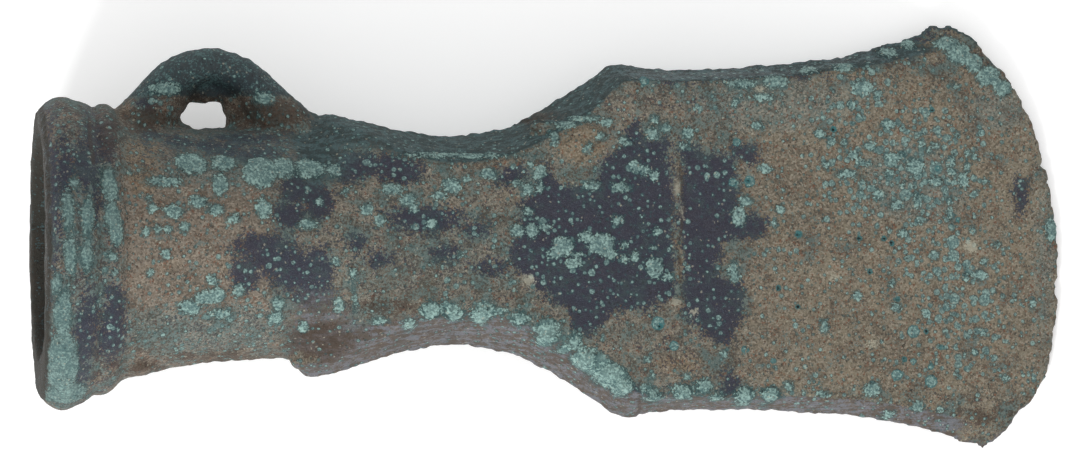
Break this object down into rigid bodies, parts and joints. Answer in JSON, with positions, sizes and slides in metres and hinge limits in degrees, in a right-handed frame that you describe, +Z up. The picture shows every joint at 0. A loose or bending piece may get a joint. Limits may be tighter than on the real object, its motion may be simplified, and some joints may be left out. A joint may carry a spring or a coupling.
{
  "type": "socketed axe head",
  "caption": "Cast bronze socketed axe head with a collared mouth, a side loop, a winged waist and a splayed blade, lying flat.",
  "frame": {"origin": "on the table, under the middle of the axe's bounding box", "axes": "+X towards the cutting edge, +Y towards the loop, +Z up from the table"},
  "size_m": [0.131, 0.055, 0.0353],
  "materials": {
    "bronze": "dull corroded bronze, brown earth and green and dark patina"
  },
  "bodies": {
    "root": {"axe_head": "bronze"}
  },
  "joints": []
}
